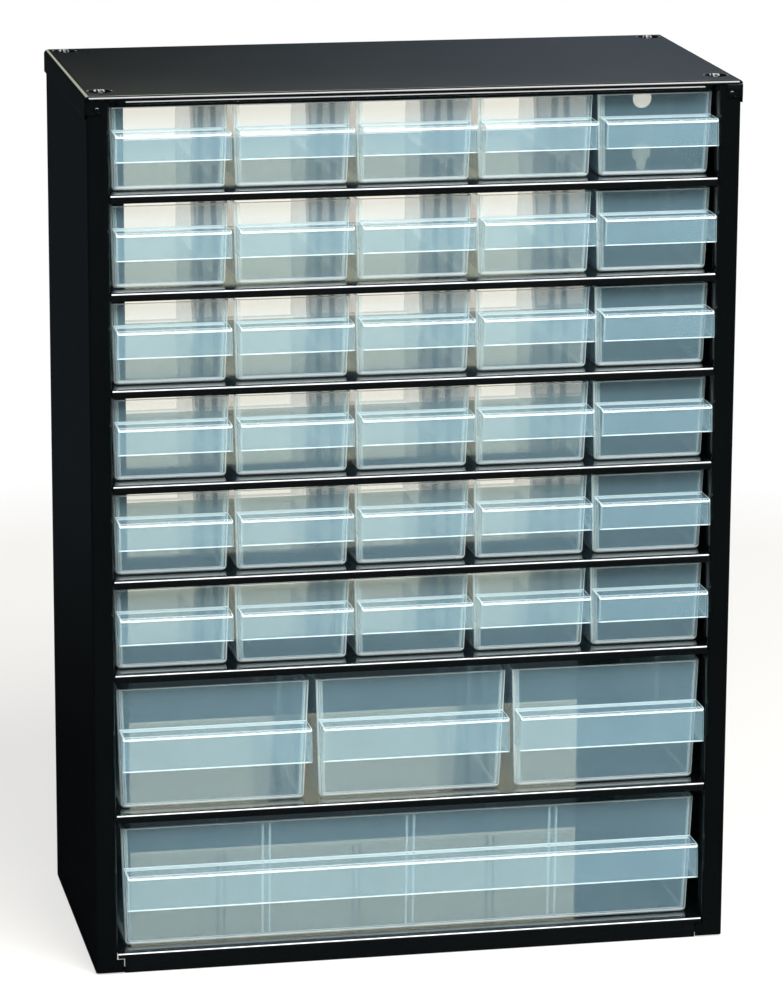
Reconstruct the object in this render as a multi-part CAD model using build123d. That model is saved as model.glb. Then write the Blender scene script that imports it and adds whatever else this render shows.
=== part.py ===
from build123d import *
import os
from math import radians, tan

# Parts bin cabinet: a folded sheet-steel case with seven shelves and 34 moulded drawers.
# Millimetres. The fronts face -Y and +Z is up. The origin is under the middle of the whole
# object, on the surface that it stands on.

# ---- case, driving sizes ----
case_width = 306.0
case_depth = 150.0
jamb_width = 11.0  # of the case's front, on each side of the opening
sheet = 0.8
bend = 1.5  # outer radius of a fold
fit_gap = 0.1  # between panels that slip over each other
overrun = 1.0  # how far a cut runs past the faces that it opens
small_pitch = 45.1  # shelf top to shelf top, rows of small drawers
large_pitch = 68.15  # shelf top to shelf top, rows of deep drawers
small_rows = 6
base_top = 10.1  # top of the base panel

# ---- top cap ----
cap_bend = 2.0
cap_side_flange = 10.5
cap_rear_flange = 21.0
cap_front_lip = 5.0
lip_end_inset = 3.5  # from the jamb's edge to the lip's end
lip_mitre = 3.0
bead_radius = 0.9
bead_proud = 0.5
bead_drop = 3.1  # from the cap's top to the bead's middle
bead_end_inset = 4.0
tab_width = 7.8
tab_height = 8.2
recess_radius = 5.2
recess_depth = 1.0
recess_side_inset = 9.0
recess_front_inset = 16.5
recess_rear_inset = 8.2

# ---- rivets through the cap's tabs and the jambs ----
rivet_head_radius = 1.5
rivet_head_height = 0.7
rivet_shank_radius = 0.9
rivet_hole_gap = 0.05
rivet_length = 2.0  # of the shank, from under the head
rivet_crown = 0.55  # rounding of the head
rivet_side_inset = 5.5
rivet_tab_rise = 1.9  # above the tab's lower edge

# ---- side panels ----
jamb_return = 8.0
rear_flange = 37.0
side_lift = 0.8  # the base skirts reach this much lower than the side panels
foot_flange = 12.0
foot_tab_width = 3.1
foot_tab_top = 7.0
foot_relief = 0.6
keyhole_inset = 9.7  # from the case side to the keyhole's axis
keyhole_drop = 31.5  # from the cabinet's top to the round hole's centre
keyhole_radius = 4.8
slot_radius = 2.5
slot_rise = 6.5

# ---- shelves and base ----
shelf_lip = 4.0
shelf_rear_flange = 17.0
end_flange = 7.0
end_flange_inset = 4.0  # from the ends of the side panel's web
corner_strip = 12.0
jamb_clearance = 0.4
foot_return = 8.0
base_end_lip = 2.6

# ---- drawers ----
front_setback = 9.5  # jamb front to the foot of a drawer's front wall
rear_clearance = 0.3  # from a drawer's rim to the shelf's rear flange
# from a drawer's rim to the edge of its share of the opening
small_clearance = 1.0
medium_clearance = 1.5
wide_clearance = 3.0
draft = 2.0  # degrees
wall = 1.4
floor_thickness = 1.5
corner_radius = 3.0  # at the foot; the draft widens it towards the rim
foot_radius = 2.0
small_height = 38.5
large_height = 58.8
small_ledge = 28.3  # ledge top above the shelf
large_ledge = 39.2
small_hood = 12.8  # from the ledge's top to the skirt's edge
large_hood = 16.8
hood_proud = 5.0  # skirt in front of the case
hood_wall = 1.3
hood_radius = 1.6
hood_flare = 0.3  # how much wider a side is at the skirt's edge
hood_inset = 0.5  # from the rim's width to the hood's, at the ledge
rib_width = 0.9
rib_depth = 1.1
rib_spacing = 3.4
rib_rim_gap = 1.0
small_columns = 5
medium_columns = 3
wide_divisions = 4

# ---- worked out ----
case_height = base_top + 2 * large_pitch + small_rows * small_pitch
half_width = case_width / 2
half_opening = half_width - jamb_width
opening_width = 2 * half_opening
case_front = -(case_depth - hood_proud) / 2
case_rear = case_front + case_depth
jamb_front = case_front + sheet
side_rear = case_rear - sheet
shelf_rear = side_rear - sheet
side_out = half_width - sheet - fit_gap
side_in = side_out - sheet
side_top = case_height - cap_bend
return_end = jamb_front + jamb_return
tab_low = case_height - tab_height
rivet_x = half_width - rivet_side_inset
rivet_z = tab_low + rivet_tab_rise
keyhole_x = half_width - keyhole_inset
keyhole_z = case_height - keyhole_drop
drawer_rear = shelf_rear - sheet - rear_clearance
slope = tan(radians(draft))
drawer_front = jamb_front + front_setback
rivet_hole = rivet_shank_radius + rivet_hole_gap
strip = 2 * bend  # the flat run of a flange that joins a plate
TOP = (Align.CENTER, Align.CENTER, Align.MAX)
BOTTOM = (Align.CENTER, Align.CENTER, Align.MIN)


def across(x):
    """A plane at x that shows Y to the right and Z up."""
    return Plane(origin=(x, 0, 0), x_dir=(0, 1, 0), z_dir=(1, 0, 0))


def facing(y):
    """A plane at y that shows X to the right and Z up, with its normal to the front."""
    return Plane(origin=(0, y, 0), x_dir=(1, 0, 0), z_dir=(0, -1, 0))


def level(z):
    """A plane at z that shows X to the right and Y up."""
    return Plane(origin=(0, 0, z))


def folded(points, plane, length, radius=bend):
    """Sheet folded along the points of its outer face, with its inside to their right."""
    line = FilletPolyline(*points, radius=radius)
    section = make_face(offset(line, amount=sheet, side=Side.RIGHT))
    return extrude(plane * section, amount=length)


def block(x0, x1, y0, y1, z0, z1):
    size = (x1 - x0, y1 - y0, z1 - z0)
    return Pos((x0 + x1) / 2, (y0 + y1) / 2, (z0 + z1) / 2) * Box(*size)


def rod(x, y0, y1, z, radius):
    """A cylinder along Y."""
    return Pos(x, (y0 + y1) / 2, z) * Rot(90, 0, 0) * Cylinder(radius, y1 - y0)


# ---- case ----
def front_lip():
    """The cap's front lip, with mitred ends and a bead rolled along it."""
    top, low = case_height, case_height - cap_front_lip
    half = half_opening - lip_end_inset
    points = [(case_front, low), (case_front, top), (case_front + strip, top)]
    lip = folded(points, across(-half), 2 * half)
    bead_y = case_front - bead_proud + bead_radius
    bead_length = 2 * (half - bead_end_inset)
    bead = Pos(0, bead_y, top - bead_drop) * Rot(0, 90, 0) * Cylinder(bead_radius, bead_length)
    lip += bead - block(-half, half, case_front + sheet / 2, case_rear, low, top)
    for side in (-1, 1):
        end = Polyline(
            (side * half, top - bend),
            (side * (half + overrun), low - overrun),
            (side * (half - lip_mitre), low - overrun),
            close=True,
        )
        lip -= extrude(facing(case_front + bend) * make_face(end), amount=strip)
    return lip


def corner_tab():
    """The right front corner of the cap: its side flange, folded on to the jamb."""
    points = [
        (half_width, case_front + strip),
        (half_width, case_front),
        (half_width - tab_width, case_front),
    ]
    tab = folded(points, level(tab_low), case_height - cap_bend - tab_low)
    return tab - rod(rivet_x, case_front - overrun, jamb_front + overrun, rivet_z, rivet_hole)


def top_cap():
    top = case_height
    side_low, rear_low = top - cap_side_flange, top - cap_rear_flange
    outline = [
        (-half_width, side_low),
        (-half_width, top),
        (half_width, top),
        (half_width, side_low),
    ]
    cap = folded(outline, facing(case_rear - bend), case_depth - strip, cap_bend)
    edge = half_width - cap_bend
    front = [(case_front, top - bend - fit_gap), (case_front, top), (case_front + strip, top)]
    rear = [(case_rear - strip, top), (case_rear, top), (case_rear, rear_low)]
    cap += folded(front, across(-edge), 2 * edge)
    cap += folded(rear, across(-edge), 2 * edge)
    cap += front_lip()
    tab = corner_tab()
    cap += tab
    cap += mirror(tab, about=Plane.YZ)
    for x in (-half_width + recess_side_inset, half_width - recess_side_inset):
        for y in (case_front + recess_front_inset, case_rear - recess_rear_inset):
            cup = Cylinder(recess_radius + sheet, recess_depth + sheet, align=TOP)
            cap += Pos(x, y, top) * cup
            cap -= Pos(x, y, top) * Cylinder(recess_radius, recess_depth, align=TOP)
    return cap


def keyhole():
    """A round hole with a slot above it, through the rear flange."""
    y0, y1 = side_rear - 2 * sheet, side_rear + sheet
    hole = rod(keyhole_x, y0, y1, keyhole_z, keyhole_radius)
    hole += rod(keyhole_x, y0, y1, keyhole_z + slot_rise, slot_radius)
    left, right = keyhole_x - slot_radius, keyhole_x + slot_radius
    return hole + block(left, right, y0, y1, keyhole_z, keyhole_z + slot_rise)


def right_side_panel():
    """Web, front jamb with its return, rear flange, foot flange and foot tab."""
    outline = [
        (side_out - rear_flange, side_rear),
        (side_out, side_rear),
        (side_out, jamb_front),
        (half_opening, jamb_front),
        (half_opening, return_end),
    ]
    panel = folded(outline, level(side_lift), side_top - side_lift)
    foot = [
        (side_out, side_lift + strip),
        (side_out, side_lift),
        (side_out - foot_flange, side_lift),
    ]
    depth = side_rear - jamb_front - strip
    panel += folded(foot, facing(side_rear - bend), depth)
    relief_x, relief_z = half_opening + bend + foot_relief, foot_tab_top + foot_relief
    panel -= block(half_opening - overrun, relief_x, case_front, return_end + overrun, 0, relief_z)
    tab_in = half_opening - foot_tab_width
    panel += block(
        tab_in, relief_x + overrun, jamb_front, jamb_front + sheet, side_lift, foot_tab_top
    )
    front_view = Polyline(
        (0, side_lift), (0, side_top), (side_out, side_top), (side_out, side_lift), close=True
    )
    front_view = make_face(front_view)
    corner = front_view.vertices().sort_by(Axis.Y)[:2].sort_by(Axis.X)[-1]
    panel &= extrude(facing(case_rear) * fillet(corner, bend), amount=case_depth)
    panel -= rod(rivet_x, case_front, jamb_front + sheet + overrun, rivet_z, rivet_hole)
    return panel - keyhole()


def plate_ends(top):
    """A plate between the side panels, turned down along both, clear of the jambs."""
    low = top - end_flange
    points = [(-side_in, low), (-side_in, top), (side_in, top), (side_in, low)]
    y0, y1 = return_end + jamb_clearance, shelf_rear - end_flange_inset
    ends = folded(points, facing(y1), y1 - y0)
    rear = [(y1 - corner_strip, top), (shelf_rear, top), (shelf_rear, top - end_flange)]
    half = side_in - bend
    return ends + folded(rear, across(-half), 2 * half)


def shelf(top):
    """A shelf with a front lip, end flanges and a deeper rear flange that stops the drawers."""
    half = half_opening - jamb_clearance
    points = [
        (jamb_front, top - shelf_lip),
        (jamb_front, top),
        (shelf_rear, top),
        (shelf_rear, top - shelf_rear_flange),
    ]
    return plate_ends(top) + folded(points, across(-half), 2 * half)


def base_panel():
    """The floor of the case: front and rear skirts that turn in at the foot."""
    skirt_half = half_opening - foot_tab_width - jamb_clearance
    skirts = [
        (jamb_front + foot_return, 0),
        (jamb_front, 0),
        (jamb_front, base_top),
        (shelf_rear, base_top),
        (shelf_rear, 0),
        (shelf_rear - foot_return, 0),
    ]
    lip_half = half_opening - jamb_clearance
    lip = [
        (jamb_front, base_top - base_end_lip),
        (jamb_front, base_top),
        (return_end + corner_strip, base_top),
    ]
    base = plate_ends(base_top) + folded(lip, across(-lip_half), 2 * lip_half)
    return base + folded(skirts, across(-skirt_half), 2 * skirt_half)


def tab_rivets():
    """Round-headed blind rivets that hold the cap's front tabs to the jambs."""
    head = Cylinder(rivet_head_radius, rivet_head_height, align=BOTTOM)
    head = fillet(head.edges().group_by(Axis.Z)[-1], rivet_crown)
    rivet = head + Cylinder(rivet_shank_radius, rivet_length, align=TOP)
    rivet = Rot(90, 0, 0) * rivet
    return Compound(children=[Pos(x, case_front, rivet_z) * rivet for x in (-rivet_x, rivet_x)])


# ---- drawers ----
def tub(width, height, inset, z0, z1):
    """A block with round corners, drawn in with the draft, inset from the drawer's outside."""
    depth = drawer_rear - drawer_front + height * slope
    growth = 2 * (z1 - height) * slope - 2 * inset
    radius = corner_radius + z1 * slope - inset
    top = RectangleRounded(width + growth, depth + growth, radius)
    top = Pos(0, drawer_rear - depth / 2, z1) * top
    return extrude(top, amount=z1 - z0, dir=(0, 0, -1), taper=draft)


def hood(width, height, ledge, drop):
    """The grip: a ledge with a hanging skirt and end cheeks, open below."""
    front = case_front - hood_proud
    back = drawer_front - ledge * slope + wall / 2
    half = width / 2 - (height - ledge) * slope - hood_inset
    shell = []
    for inset in (0, hood_wall):
        side = Polyline(
            (back, ledge - inset),
            (front + inset, ledge - inset),
            (front + inset, ledge - drop - inset),
            (back, ledge - drop - inset),
            close=True,
        )
        side = make_face(side)
        corner = side.vertices().sort_by(Axis.X)[:2].sort_by(Axis.Y)[-1]
        side = across(-width) * fillet(corner, hood_radius - inset)
        low = half + hood_flare - inset
        high = half - inset
        beyond = ledge - drop - 2 * hood_wall
        right_half = Polyline((0, ledge), (high, ledge), (low, ledge - drop), (low, beyond), (0, beyond))
        face = make_face([*right_half.edges(), *mirror(right_half, about=Plane.YZ).edges()])
        face = extrude(facing(back + overrun) * face, amount=back + 2 * overrun - front)
        shell.append(extrude(side, amount=2 * width) & face)
    return shell[0] - shell[1]


def rib_slabs(width, wide):
    """Slabs across the drawer where its pairs of ribs stand."""
    middles = [(drawer_front + drawer_rear) / 2]
    if wide:
        middles = [width * (n / wide_divisions - 0.5) for n in range(1, wide_divisions)]
    slabs = []
    for middle in middles:
        for place in (middle - rib_spacing / 2, middle + rib_spacing / 2):
            low, high = place - rib_width / 2, place + rib_width / 2
            if wide:
                slabs.append(block(low, high, case_front, drawer_rear, 0, large_height))
            else:
                slabs.append(block(-width, width, low, high, 0, large_height))
    return Compound(children=slabs)


def drawer(width, height, ledge, drop, wide=False):
    """A moulded drawer that stands on z = 0, in the middle of the case."""
    outside = tub(width, height, 0, 0, height)
    outside = fillet(outside.edges().group_by(Axis.Z)[0], foot_radius)
    inside = tub(width, height, wall, floor_thickness, height + overrun)
    body = outside - inside
    lining = tub(width, height, wall, floor_thickness, height - rib_rim_gap)
    lining -= tub(width, height, wall + rib_depth, 0, height + overrun)
    body += lining & rib_slabs(width, wide)
    return body + hood(width, height, ledge, drop)


def row_tops():
    """The height of each row's floor, from the top row to the bottom one."""
    tops = [base_top, base_top + large_pitch]
    tops += [base_top + 2 * large_pitch + n * small_pitch for n in range(small_rows)]
    return tops[::-1]


def drawers():
    """Every drawer by name, on its shelf."""
    small_width = opening_width / small_columns - 2 * small_clearance
    medium_width = opening_width / medium_columns - 2 * medium_clearance
    wide_width = opening_width - 2 * wide_clearance
    small = drawer(small_width, small_height, small_ledge, small_hood)
    medium = drawer(medium_width, large_height, large_ledge, large_hood)
    wide = drawer(wide_width, large_height, large_ledge, large_hood, wide=True)
    tops = row_tops()
    placed = {}
    for row, top in enumerate(tops, start=1):
        if row <= small_rows:
            shape, columns = small, small_columns
        else:
            shape, columns = (medium, medium_columns) if row == small_rows + 1 else (wide, 1)
        pitch = opening_width / columns
        for column in range(columns):
            x = (column - (columns - 1) / 2) * pitch
            placed[f"drawer_r{row}_c{column + 1}"] = Pos(x, 0, top) * shape
    return placed


right = right_side_panel()
nodes = {
    "top_cap": top_cap(),
    "right_side_panel": right,
    "left_side_panel": mirror(right, about=Plane.YZ),
    "base_panel": base_panel(),
    "tab_rivets": tab_rivets(),
}
for number, top in enumerate(row_tops()[:-1], start=1):
    nodes[f"shelf_{number}"] = shelf(top)
nodes.update(drawers())

os.makedirs("parts", exist_ok=True)
for name, shape in nodes.items():
    export_step(shape, f"parts/{name}.step")
print(len(nodes), "nodes, case height", round(case_height, 2))
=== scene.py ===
from math import radians, tan

import bmesh
import bpy
from mathutils import Matrix, Vector


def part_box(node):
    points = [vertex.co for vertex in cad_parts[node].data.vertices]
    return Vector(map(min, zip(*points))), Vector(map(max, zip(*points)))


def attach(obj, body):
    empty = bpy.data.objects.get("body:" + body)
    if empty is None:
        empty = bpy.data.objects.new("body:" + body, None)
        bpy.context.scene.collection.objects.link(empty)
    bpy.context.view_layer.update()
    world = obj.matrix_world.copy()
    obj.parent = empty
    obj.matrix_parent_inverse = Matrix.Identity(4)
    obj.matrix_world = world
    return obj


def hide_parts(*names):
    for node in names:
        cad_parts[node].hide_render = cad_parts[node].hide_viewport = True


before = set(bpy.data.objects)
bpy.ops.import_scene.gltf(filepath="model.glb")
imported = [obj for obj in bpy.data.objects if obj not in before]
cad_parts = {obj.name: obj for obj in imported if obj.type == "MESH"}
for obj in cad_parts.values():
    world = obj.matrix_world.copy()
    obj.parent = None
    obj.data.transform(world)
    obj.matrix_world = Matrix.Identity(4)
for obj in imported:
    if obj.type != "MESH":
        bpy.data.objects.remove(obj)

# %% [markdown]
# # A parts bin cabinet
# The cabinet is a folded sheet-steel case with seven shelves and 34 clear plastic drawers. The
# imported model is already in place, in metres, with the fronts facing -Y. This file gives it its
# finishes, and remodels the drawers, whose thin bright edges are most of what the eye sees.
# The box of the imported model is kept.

mm = 0.001
scene = bpy.context.scene
for name in ("Cube", "Light", "Camera"):  # Blender's own start-up objects
    if name in bpy.data.objects:
        bpy.data.objects.remove(bpy.data.objects[name])
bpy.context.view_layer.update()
drawer_nodes = sorted(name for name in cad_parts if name.startswith("drawer_"))
steel_nodes = sorted(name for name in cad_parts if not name.startswith("drawer_"))
print(len(drawer_nodes), "drawers and", len(steel_nodes), "steel nodes")

# %% [markdown]
# ## Colours and nodes
# Colours are picked as hex values from a colour chart, the way a paint or plastic supplier
# gives them. Blender calculates with linear light, so one function turns them. A second
# function adds a shader node with its settings and links, and every material uses it. The
# others wrap the nodes that come up most: a sum, a range, a blend of colours and a noise.

# %% Colour and node helpers
def linear(hex_colour):
    """The linear colour, with an alpha of 1, of an sRGB hex value such as 'c8d2d4'."""
    channels = [int(hex_colour[i:i + 2], 16) / 255 for i in (0, 2, 4)]
    low = [c / 12.92 for c in channels]
    high = [((c + 0.055) / 1.055) ** 2.4 for c in channels]
    return [h if c > 0.04045 else l for c, l, h in zip(channels, low, high)] + [1.0]


def add(tree, kind, inputs=None, **settings):
    """Adds a node. Inputs are values, or other nodes' sockets, which are linked."""
    node = tree.nodes.new(kind)
    for name, value in settings.items():
        setattr(node, name, value)
    for name, value in (inputs or {}).items():
        if isinstance(value, bpy.types.NodeSocket):
            tree.links.new(value, node.inputs[name])
        else:
            node.inputs[name].default_value = value
    return node


def calculate(tree, operation, first, second, **settings):
    """The result of a Math node."""
    node = add(tree, "ShaderNodeMath", {0: first, 1: second}, operation=operation, **settings)
    return node.outputs["Value"]


def remap(tree, value, start, end, low=0.0, high=1.0):
    """Follows the value from start to end with a result from low to high."""
    node = add(tree, "ShaderNodeMapRange", {
        "Value": value, "From Min": start, "From Max": end, "To Min": low, "To Max": high})
    return node.outputs["Result"]


def blend(tree, factor, first, second):
    """A mix of two colours, each a hex value or a socket: factor 0 gives the first."""
    first, second = [linear(c) if isinstance(c, str) else c for c in (first, second)]
    node = add(tree, "ShaderNodeMix", {"Factor": factor, "A": first, "B": second},
               data_type="RGBA")
    return node.outputs["Result"]


def noise(tree, place, size, detail):
    """A soft pattern of values around 0.5, with patches about size metres across."""
    node = add(tree, "ShaderNodeTexNoise", {
        "Vector": place, "Scale": 1 / size, "Detail": detail})
    return node.outputs["Fac"]


# %% Material helpers
def new_material(name):
    """An empty material, with the Object coordinates that its patterns follow."""
    material = bpy.data.materials.new(name)
    material.use_nodes = True
    tree = material.node_tree
    tree.nodes.clear()
    return material, tree, add(tree, "ShaderNodeTexCoord").outputs["Object"]


def finish_material(tree, shader):
    """Links the shader to the material's output."""
    add(tree, "ShaderNodeOutputMaterial", {"Surface": shader.outputs[0]})


# %% [markdown]
# ## Black stoved enamel
# The case is sprayed with black enamel and baked. It dries to a hard gloss film with a faint
# orange-peel ripple, a few millimetres across, which softens what it mirrors. At a flat angle
# enamel mirrors strongly, so the shelves show the bright studio behind the cabinet. The
# shelves and the base get a clear coat on top, and mirror a little more than the case.

# %% Enamel
enamel_ripple = 6 * mm
enamel_patch = 60 * mm  # over which its tone and gloss change a little
ripple_depth = 0.05 * mm
ripple_strength = 0.02
gloss_change = 0.15  # of the roughness, up and down


def enamel(name, base, tone, roughness, coat):
    """Gloss enamel between two tones. The coat goes from 0 for none to 1 for a full one."""
    material, tree, place = new_material(name)
    peel = noise(tree, place, enamel_ripple, 1.0)
    cloud = noise(tree, place, enamel_patch, 2.0)
    gloss = remap(tree, cloud, 0.0, 1.0,
                  (1 - gloss_change) * roughness, (1 + gloss_change) * roughness)
    relief = add(tree, "ShaderNodeBump", {
        "Height": peel, "Strength": ripple_strength, "Distance": ripple_depth})
    shader = add(tree, "ShaderNodeBsdfPrincipled", {
        "Base Color": blend(tree, cloud, base, tone), "Roughness": gloss,
        "Normal": relief.outputs["Normal"], "IOR": 1.5, "Coat Weight": coat,
        "Coat Roughness": 0.05})
    finish_material(tree, shader)
    return material


gloss_enamel = enamel("gloss_black_enamel", "07090a", "0b0e0f", 0.06, 1.0)
case_enamel = enamel("case_black_enamel", "050707", "090b0c", 0.05, 0.0)
print("enamels:", gloss_enamel.name, case_enamel.name)

# %% [markdown]
# ## The steel pieces
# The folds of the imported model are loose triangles. A copy of each piece is merged and shaded
# smooth up to 50 degrees, so that a fold reads as one round bend and a cut edge stays crisp.
# Weighted normals then let the large faces rule the small ones beside them, so that a flat
# sheet mirrors like a flat sheet right up to its folds.

# %% Smooth copies of the steel pieces
fold_angle = radians(50)
merge_distance = 0.001 * mm


def ready(name, bm, body, materials):
    """Makes an object of a bmesh, shades it smooth between sharp edges, and lets it ride."""
    mesh = bpy.data.meshes.new(name)
    bm.to_mesh(mesh)
    bm.free()
    mesh.shade_smooth()
    mesh.set_sharp_from_angle(angle=fold_angle)
    piece = bpy.data.objects.new(name, mesh)
    scene.collection.objects.link(piece)
    flat = piece.modifiers.new("flat_faces_stay_flat", "WEIGHTED_NORMAL")
    flat.keep_sharp = True
    for material in materials:
        mesh.materials.append(material)
    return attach(piece, body)


for node in steel_nodes:
    bm = bmesh.new()
    bm.from_mesh(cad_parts[node].data)
    bmesh.ops.remove_doubles(bm, verts=bm.verts, dist=merge_distance)
    finish = gloss_enamel if node.startswith(("shelf", "base")) else case_enamel
    piece = ready("steel_" + node, bm, "cabinet", [finish])
    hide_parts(node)
print("smoothed:", ", ".join(steel_nodes))

# %% [markdown]
# ## Clear polypropylene
# The drawers are injection moulded. The plastic is clear with a cool haze, so each wall hides
# a little of what is behind it, and the haze adds up where walls overlap. Light that enters a
# wall runs inside it and leaves at the rims, folds and corners. That light is painted in: the
# edges get a painted glow, and the corners a paler, less clear plastic that is partly haze and
# partly painted highlight. Four materials give that: walls, corners, edges and the side walls,
# which are seen at a flatter angle and hide more.

# %% Polypropylene
flow_patch = 35 * mm  # over which the colour changes a little


def polypropylene(name, base, tone, alpha, roughness):
    """Hazy plastic between two tones. alpha is how much it hides, from 0 to 1."""
    material, tree, place = new_material(name)
    flow = noise(tree, place, flow_patch, 2.0)
    shader = add(tree, "ShaderNodeBsdfPrincipled", {
        "Base Color": blend(tree, flow, base, tone), "Roughness": roughness, "IOR": 1.49,
        "Specular IOR Level": 0.35, "Alpha": alpha})
    finish_material(tree, shader)
    material.surface_render_method = "BLENDED"
    return material


plastics = [
    polypropylene("polypropylene_wall", "9bc6d8", "aed8ea", 0.12, 0.12),
    # the corner plastic is paler and less clear: partly haze, partly a painted highlight
    polypropylene("polypropylene_corner_haze_painted_highlight", "c0e0e8", "c9e7ed", 0.26, 0.15),
    # the edge plastic's near-white colour is a painted glow of light piped along the walls
    polypropylene("polypropylene_painted_edge_glow", "e8fbff", "f2ffff", 0.65, 0.2),
    polypropylene("polypropylene_side_wall", "94bccd", "9fc6d6", 0.26, 0.12),
]
# the corner index marks haze with a painted highlight, the edge index a painted glow
haze_and_highlight_index, painted_glow_index, side_index = 1, 2, 3  # a face without any of these is a wall's, 0
print("plastics:", ", ".join(material.name for material in plastics))

# %% [markdown]
# ## Shaping helpers
# Bin, hood and ribs all start as cubes. Bevels round their edges, and the cut faces of their
# walls are levelled, rounded and given a painted glow. Which faces are meant is told by where
# their corners are, and by how far their normal points along an axis, from -1 to 1.

# %% Bevels, cubes and rims
near = 0.02 * mm
rim_round = 0.3 * mm


def bevel(bm, edges, offset, segments, index=None):
    """A round bevel of these edges, whose new faces may get a material's index."""
    made = bmesh.ops.bevel(bm, geom=edges, offset=offset, offset_type="OFFSET",
                           segments=segments, profile=0.5, affect="EDGES",
                           material=-1)["faces"]
    for face in made:
        if index is not None:
            face.material_index = index
    return made


def level_with(item, axis, place):
    """Whether all the corners of an edge or face are at this place along an axis, 0 to 2."""
    return all(abs(v.co[axis] - place) < near for v in item.verts)


def cube(bm, low, high):
    """A box from its lowest to its highest corner. Returns its vertices."""
    low, high = Vector(low), Vector(high)
    made = bmesh.ops.create_cube(bm, size=1)["verts"]
    bmesh.ops.scale(bm, vec=high - low, verts=made)
    bmesh.ops.translate(bm, vec=(low + high) / 2, verts=made)
    return made


def finish_painted_glow_rim(bm, faces, axis, place):
    """Levels the cut face of a wall, rounds its two edges and gives it a painted glow."""
    for vert in {v for f in faces for v in f.verts}:
        vert.co[axis] = place
    for face in faces:
        face.material_index = painted_glow_index
    border = [e for e in bm.edges if sum(f in faces for f in e.link_faces) == 1]
    bevel(bm, border, rim_round, 2, painted_glow_index)


# %% [markdown]
# ## The drawer's bin
# A cube is tapered to the draft that lets the moulding leave its tool, its uprights and foot
# are rounded with bevels, its lid is taken off, and a solidify gives the wall its thickness.
# The rim is then levelled and its two edges are rounded, and it gets a painted glow. Light
# gathers in one strip of each round front corner and in the strips under the front wall, so
# these get the painted glow of an edge.

# %% Bin
draft = radians(2.0)
lean = tan(draft)
wall = 1.4 * mm
corner_radius = 3 * mm
foot_radius = 2 * mm
sideways = 0.99  # how far a side wall's normal points along X, at least
painted_glow_upright = (0.7, 0.95)  # how far the normal of the strip with the painted glow points along X
painted_glow_foot = (-0.7, -0.1)  # how far the normals of the strips with the painted glow point along Z


def is_painted_glow_line(face):
    """Whether a strip of a round corner or of the foot's rounding gets the painted glow of
    gathered light.
    """
    normal = face.normal
    upright = abs(normal.z) < 0.1 and normal.y < 0
    upright = upright and painted_glow_upright[0] < abs(normal.x) < painted_glow_upright[1]
    at_foot = painted_glow_foot[0] < normal.z < painted_glow_foot[1] and normal.y < -0.3
    return face.material_index == haze_and_highlight_index and (upright or at_foot)


def bin_shell(width, front, rear, height):
    """The tapered bin, open at the top, standing on z = 0 in the middle of the case."""
    bm = bmesh.new()
    shrink = height * lean
    rim_front = front - shrink
    verts = cube(bm, (-width / 2, rim_front, 0), (width / 2, rear, height))
    foot = [v for v in verts if v.co.z < near]
    for vert in foot:
        vert.co.x -= shrink if vert.co.x > 0 else -shrink
        vert.co.y -= shrink if vert.co.y > 0 else -shrink
    uprights = [e for e in bm.edges if abs(e.verts[0].co.z - e.verts[1].co.z) > near]
    # the rounded uprights and foot get the corner plastic, partly haze and partly painted
    # highlight
    bevel(bm, uprights, corner_radius, 6, haze_and_highlight_index)
    bevel(bm, [e for e in bm.edges if level_with(e, 2, 0)], foot_radius, 4, haze_and_highlight_index)
    bm.normal_update()
    # strips where light would gather get the painted glow, flat side walls the side plastic
    for face in bm.faces:
        if is_painted_glow_line(face):
            face.material_index = painted_glow_index
        elif abs(face.normal.x) > sideways:
            face.material_index = side_index
    lid = [f for f in bm.faces if level_with(f, 2, height)]
    bmesh.ops.delete(bm, geom=lid, context="FACES_ONLY")
    bmesh.ops.solidify(bm, geom=bm.faces[:], thickness=wall)
    rim = [f for f in bm.faces if all(v.co.z > height - wall / 2 for v in f.verts)]
    finish_painted_glow_rim(bm, rim, 2, height)
    return bm


# %% [markdown]
# ## The hood
# The hood is the grip: a ledge with a skirt and two cheeks, open below, so that fingers pull
# it from behind. A cube gets the ledge's round front edge, then softer side edges. The open
# faces are taken off and a solidify gives it its wall, in the same way as the bin. The first
# and last strips of the front edge, the side edges of the ledge, the seam where the ledge
# meets the bin and the skirt's lower rim get a painted glow.

# %% Hood block
hood_wall = 1.3 * mm
hood_radius = 1.6 * mm
hood_corner = 0.6 * mm
hood_flare = 0.3 * mm  # how far each cheek leans out towards its foot
hood_inset = 0.5 * mm  # how far each cheek stays inside the bin's side
painted_seam_line_width = 0.5 * mm  # of the painted glow line where the ledge meets the bin


def hood_block(width, front, hood_front, height, ledge, drop):
    """The hood as a closed block. Returns its bmesh and where its back and foot are."""
    bm = bmesh.new()
    back = front - ledge * lean + wall / 2
    half = width / 2 - (height - ledge) * lean - hood_inset
    foot = ledge - drop
    for vert in cube(bm, (-half, hood_front, foot), (half, back, ledge)):
        if vert.co.z < foot + near:
            vert.co.x += hood_flare if vert.co.x > 0 else -hood_flare
    return bm, back, foot


def round_hood(bm, hood_front, ledge, foot, back):
    """Rounds the ledge's front edge and the side edges, and gives their strips a painted glow."""
    front_edge = [e for e in bm.edges
                  if level_with(e, 1, hood_front) and level_with(e, 2, ledge)]
    for face in bevel(bm, front_edge, hood_radius, 6, haze_and_highlight_index):
        face.normal_update()
        # these strips of the round front edge get the painted glow
        first_or_last = min(abs(face.normal.y), abs(face.normal.z)) < 0.2
        if first_or_last or face.normal.z < 0.5:
            face.material_index = painted_glow_index
    sides = [f for f in bm.faces if abs(f.normal.x) > 0.9]
    side_edges = [e for f in sides for e in f.edges
                  if not level_with(e, 2, foot) and not level_with(e, 1, back)]
    for face in bevel(bm, side_edges, hood_corner, 2, haze_and_highlight_index):
        face.normal_update()
        if face.normal.z > 0.2:
            face.material_index = painted_glow_index


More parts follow.
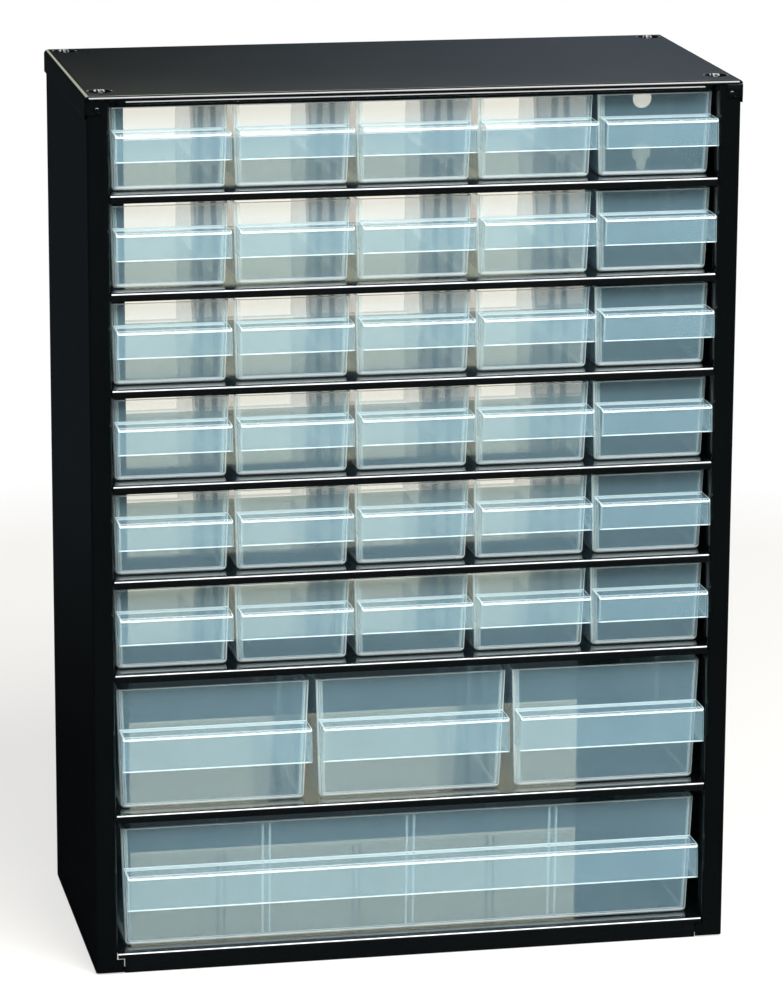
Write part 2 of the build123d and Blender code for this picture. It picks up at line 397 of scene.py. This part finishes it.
# %% Hood shell
def hood_shell(width, front, hood_front, height, ledge, drop):
    """The hood, with its ledge's top at the height ledge and its skirt drop below that."""
    bm, back, foot = hood_block(width, front, hood_front, height, ledge, drop)
    round_hood(bm, hood_front, ledge, foot, back)
    seam = front - ledge * lean - painted_seam_line_width
    bmesh.ops.bisect_plane(bm, geom=bm.verts[:] + bm.edges[:] + bm.faces[:],
                           plane_co=(0, seam, 0), plane_no=(0, 1, 0), dist=near)
    # the strip of the ledge behind the seam gets the painted glow of a seam line
    for face in bm.faces:
        if level_with(face, 2, ledge) and face.calc_center_median().y > seam:
            face.material_index = painted_glow_index
    open_faces = [f for f in bm.faces if level_with(f, 2, foot) or level_with(f, 1, back)]
    bmesh.ops.delete(bm, geom=open_faces, context="FACES_ONLY")
    bmesh.ops.solidify(bm, geom=bm.faces[:], thickness=hood_wall)
    bm.normal_update()
    rim = [f for f in bm.faces
           if f.normal.z < -0.9 and f.calc_center_median().z < foot + hood_wall / 2]
    finish_painted_glow_rim(bm, rim, 2, foot)
    for face in bm.faces:  # the cheeks' rims get the corner plastic, a weaker painted highlight than the skirt's glow
        middle = face.calc_center_median()
        if middle.z < foot + rim_round and middle.y > hood_front + hood_wall:
            face.material_index = haze_and_highlight_index
    return bm


# %% [markdown]
# ## Divider ribs
# Pairs of low ribs hold a divider between them. They are thin boxes that run up a wall from
# the floor, lean with the draft, and stop just short of the rim. Small and medium drawers have
# a pair half-way along each side, the wide one has three pairs on its front and rear walls.

# %% Ribs
rib_width = 0.9 * mm
rib_depth = 1.1 * mm
rib_spacing = 3.4 * mm
rib_rim_gap = 1.0 * mm
floor_thickness = 1.5 * mm


def rib(bm, place, height, axis):
    """A rib on a wall. place is the wall's inside at the rim, and axis the way it stands out."""
    size = [rib_width, rib_width, 0]
    size[axis] = 2 * rib_depth
    low = [place[0] - size[0] / 2, place[1] - size[1] / 2, floor_thickness]
    high = [place[0] + size[0] / 2, place[1] + size[1] / 2, height - rib_rim_gap]
    outward = 1 if place[axis] > 0 else -1
    for vert in cube(bm, low, high):
        vert.co[axis] -= outward * (height - vert.co.z) * lean


def rib_pairs(width, front, rear, height, bays):
    """The ribs of a drawer: between its bays if it has some, else one pair on each side."""
    bm = bmesh.new()
    if bays:
        across = [width * (n / bays - 0.5) for n in range(1, bays)]
        inside = (front - height * lean + wall, rear - wall)
        places = [(x, y) for x in across for y in inside]
    else:
        places = [(side * (width / 2 - wall), (front + rear) / 2) for side in (-1, 1)]
    for x, y in places:
        for shift in (-rib_spacing / 2, rib_spacing / 2):
            if bays:
                rib(bm, (x + shift, y), height, axis=1)
            else:
                rib(bm, (x, y + shift), height, axis=0)
    # the ribs get the corner plastic, partly haze and partly painted highlight
    for face in bm.faces:
        face.material_index = haze_and_highlight_index
    return bm


# %% [markdown]
# ## Three mouldings
# There are only three mouldings: bin, hood and ribs in one mesh, made in the middle of the
# case with its foot on z = 0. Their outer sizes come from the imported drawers.

# %% Mouldings
front_setback = 9.5 * mm
case_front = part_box("base_panel")[0].y  # the front of the jambs and shelf lips
drawer_front = case_front + front_setback
grips = {  # the height of the ledge's top, and how far the skirt drops from there
    "small": (28.3 * mm, 12.8 * mm),
    "medium": (39.2 * mm, 16.8 * mm),
    "wide": (39.2 * mm, 16.8 * mm),
}
bays = {"small": 0, "medium": 0, "wide": 4}


def moulding(kind, node):
    """The mesh of one kind of drawer, sized to a packed drawer of that kind."""
    low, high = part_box(node)
    width, height, rear = high.x - low.x, high.z - low.z, high.y
    ledge, drop = grips[kind]
    parts = [
        bin_shell(width, drawer_front, rear, height),
        hood_shell(width, drawer_front, low.y, height, ledge, drop),
        rib_pairs(width, drawer_front, rear, height, bays[kind]),
    ]
    whole = bmesh.new()
    for bm in parts:
        mesh = bpy.data.meshes.new("part")
        bm.to_mesh(mesh)
        bm.free()
        whole.from_mesh(mesh)
        bpy.data.meshes.remove(mesh)
    print(kind, "moulding:", len(whole.faces), "faces")
    return whole


# %% [markdown]
# ## Thirty-four drawers
# Each drawer is a copy of its moulding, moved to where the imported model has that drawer. It
# rides on the body of its own, so that it slides out alone.

# %% Drawers
def kind_of(node):
    """Which moulding a drawer is made in. Its row is in its name, as in drawer_r7_c2."""
    row = int(node.split("_")[1][1:])
    return {7: "medium", 8: "wide"}.get(row, "small")


mouldings = {}
for node in drawer_nodes:
    kind = kind_of(node)
    if kind not in mouldings:
        mouldings[kind] = moulding(kind, node)
    low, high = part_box(node)
    bm = mouldings[kind].copy()
    bmesh.ops.translate(bm, vec=((low.x + high.x) / 2, 0, low.z), verts=bm.verts)
    piece = ready("moulded_" + node, bm, node, plastics)
    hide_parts(node)
print("drawers placed:", len(drawer_nodes))

# %% [markdown]
# ## Floor
# The floor is plain and pale. Near the cabinet it is matt and takes the shadow, further away
# it fades into the white backdrop. Light Path tells how a ray gets there. Gloss surfaces
# mirror a dim floor, because black enamel is only black where what it mirrors is dim. Through
# the plastic the floor glows dark close to the cabinet, a painted shadow of the cabinet, and
# cream further off.

# %% Floor
floor_size = 30.0
fade_start, fade_end = 0.5, 0.9  # metres from the middle, where the floor turns to white
near_glow = 0.6  # the share of plain white that the camera sees in the near floor
painted_shadow_fade_start, painted_shadow_fade_end = 0.46, 0.54  # metres, where the painted shadow seen through plastic turns to cream
cream_strength = 1.25


def seen_how(tree):
    """Three sockets that are 1 for rays mirrored, straight to the camera, or through plastic."""
    rays = add(tree, "ShaderNodeLightPath").outputs
    clear = calculate(tree, "SUBTRACT", 1.0, rays["Transparent Depth"], use_clamp=True)
    direct = calculate(tree, "MULTIPLY", clear, rays["Is Camera Ray"])
    through = calculate(tree, "SUBTRACT", rays["Is Camera Ray"], direct)
    return rays["Is Glossy Ray"], direct, through


def pale_floor():
    """Matt and pale near the cabinet, white further away, dim where it is mirrored, and with a
    painted shadow near the cabinet where it is seen through plastic.
    """
    material, tree, place = new_material("pale_studio_floor")
    mirrored, direct, through = seen_how(tree)
    distance = add(tree, "ShaderNodeVectorMath", {"Vector": place}, operation="LENGTH")
    distance = distance.outputs["Value"]
    far = remap(tree, distance, fade_start, fade_end)
    lit = calculate(tree, "MULTIPLY", direct, near_glow)
    for other in (through, far):
        lit = calculate(tree, "MAXIMUM", lit, other)
    # 0 near the cabinet, where the floor seen through plastic has a painted shadow, 1 further off
    cream = remap(tree, distance, painted_shadow_fade_start, painted_shadow_fade_end)
    # through plastic, 23292c is a painted shadow of the cabinet and fff8e8 the floor further off
    glow = blend(tree, direct, blend(tree, cream, "23292c", "fff8e8"), "ffffff")
    matt = add(tree, "ShaderNodeBsdfPrincipled", {
        "Base Color": blend(tree, mirrored, "fbf7ee", "15181a"), "Roughness": 1.0,
        "Specular IOR Level": 0.0})
    bright = add(tree, "ShaderNodeEmission", {
        "Color": blend(tree, mirrored, glow, "1d2225"),
        "Strength": remap(tree, through, 0.0, 1.0, 1.0, cream_strength)})
    shader = add(tree, "ShaderNodeMixShader", {
        0: lit, 1: matt.outputs["BSDF"], 2: bright.outputs["Emission"]})
    finish_material(tree, shader)
    return material


bm = bmesh.new()
bmesh.ops.create_grid(bm, x_segments=1, y_segments=1, size=floor_size / 2)
mesh = bpy.data.meshes.new("studio_floor")
bm.to_mesh(mesh)
bm.free()
floor = bpy.data.objects.new("studio_floor", mesh)
mesh.materials.append(pale_floor())
scene.collection.objects.link(floor)
print("floor:", floor_size, "m wide")

# %% [markdown]
# ## Studio
# To the camera the studio is white, and to everything else it is a weak even light. Gloss
# surfaces mirror a dim room with two bright areas: a backdrop that begins about ten degrees
# above the floor behind the cabinet, which shows in the shelves, and lamps overhead, which
# draw the thin white lines along the folds. An area is a range of X, Y and Z of a direction
# whose length is 1.

# %% Bright areas
fill_light = 0.3
dim_colour = "c4d6ea"
dim_x = (0.13, 0.24)  # between these the dim room gets lighter towards the right
dim_strength = (0.03, 0.2)
backdrop = {"X": (-0.1, 0.45), "Y": (0.8, 1.0), "Z": (0.168, 0.38)}
overhead = {"X": (-1.0, 1.0), "Y": (-0.6, -0.05), "Z": (0.8, 1.0)}
lit_areas = [  # each with the width of its soft border, its strength and its colour
    (backdrop, 0.008, 1.2, "f3f8dc"),
    (overhead, 0.04, 14.0, "ffffff"),
]


def inside(tree, direction, ranges, border):
    """1 for directions in all of the ranges, and down to 0 across a soft border."""
    result = 1.0
    for axis, (start, end) in ranges.items():
        value = direction.outputs[axis]
        rise = remap(tree, value, start - border, start)
        fall = remap(tree, value, end, end + border, 1.0, 0.0)
        result = calculate(tree, "MULTIPLY", result, calculate(tree, "MULTIPLY", rise, fall))
    return result


def choose(tree, factor, first, second):
    """A mix of two values: factor 0 gives the first."""
    return add(tree, "ShaderNodeMix", {
        "Factor": factor, "A": first, "B": second}).outputs["Result"]


# %% World
world = bpy.data.worlds.new("studio")
world.use_nodes = True
scene.world = world
tree = world.node_tree
tree.nodes.clear()
rays = add(tree, "ShaderNodeLightPath").outputs
direction = add(tree, "ShaderNodeSeparateXYZ", {
    "Vector": add(tree, "ShaderNodeTexCoord").outputs["Generated"]})
mirrored = remap(tree, direction.outputs["X"], *dim_x, *dim_strength)
tint = linear(dim_colour)
for ranges, border, strength, colour in lit_areas:
    area = inside(tree, direction, ranges, border)
    mirrored = choose(tree, area, mirrored, strength)
    tint = blend(tree, area, tint, colour)
unseen = choose(tree, rays["Is Glossy Ray"], fill_light, mirrored)
background = add(tree, "ShaderNodeBackground", {
    "Color": blend(tree, rays["Is Glossy Ray"], "ffffff", tint),
    "Strength": choose(tree, rays["Is Camera Ray"], unseen, 1.0)})
add(tree, "ShaderNodeOutputWorld", {"Surface": background.outputs["Background"]})
print("studio:", len(lit_areas), "bright areas")

# %% [markdown]
# ## Lamps
# Two soft lamps stand in front of the cabinet. The stronger one is high and to the right, so
# that the shadow falls behind the cabinet and to its left. The weaker one fills in from the
# left.

# %% Lamps
def soft_lamp(name, place, target, size, power):
    """A square area lamp of this size in metres and power in watts, aimed at the target."""
    lamp = bpy.data.lights.new(name, "AREA")
    lamp.shape = "RECTANGLE"
    lamp.size = size
    lamp.size_y = size
    lamp.energy = power
    holder = bpy.data.objects.new(name, lamp)
    holder.location = place
    aim = Vector(target) - Vector(place)
    holder.rotation_euler = aim.to_track_quat("-Z", "Y").to_euler()
    scene.collection.objects.link(holder)


cabinet_middle = (0, 0, 0.2)
soft_lamp("key_softbox", (0.5, -1.35, 1.75), cabinet_middle, 1.2, 62)
soft_lamp("left_softbox", (-0.6, -1.6, 1.5), cabinet_middle, 0.8, 16)

# %% [markdown]
# ## Camera
# The camera stands where the photographer's did, worked out from the corners of the case: about
# two metres away, a little to the left, and looking down by 14 degrees through a long lens.
# Rays may pass 32 clear walls on their way, so that drawers seen through drawers stay clear.

# %% Camera
camera_place = Vector((-0.4119, -2.0620, 0.7341))
yaw, pitch, roll = radians(11.37), radians(14.09), radians(0.28)
focal_pixels, long_side = 4506, 1000

lens = bpy.data.cameras.new("photo_camera")
lens.sensor_width = 36
lens.lens = focal_pixels / long_side * lens.sensor_width
lens.clip_end = 100
camera = bpy.data.objects.new("photo_camera", lens)
turn = Matrix.Rotation(-yaw, 4, "Z") @ Matrix.Rotation(radians(90) - pitch, 4, "X")
camera.matrix_world = Matrix.Translation(camera_place) @ turn @ Matrix.Rotation(roll, 4, "Z")
scene.collection.objects.link(camera)
scene.camera = camera
scene.view_settings.view_transform = "Standard"
scene.cycles.transparent_max_bounces = 32
scene.cycles.max_bounces = 12
print("lens:", round(lens.lens), "mm")
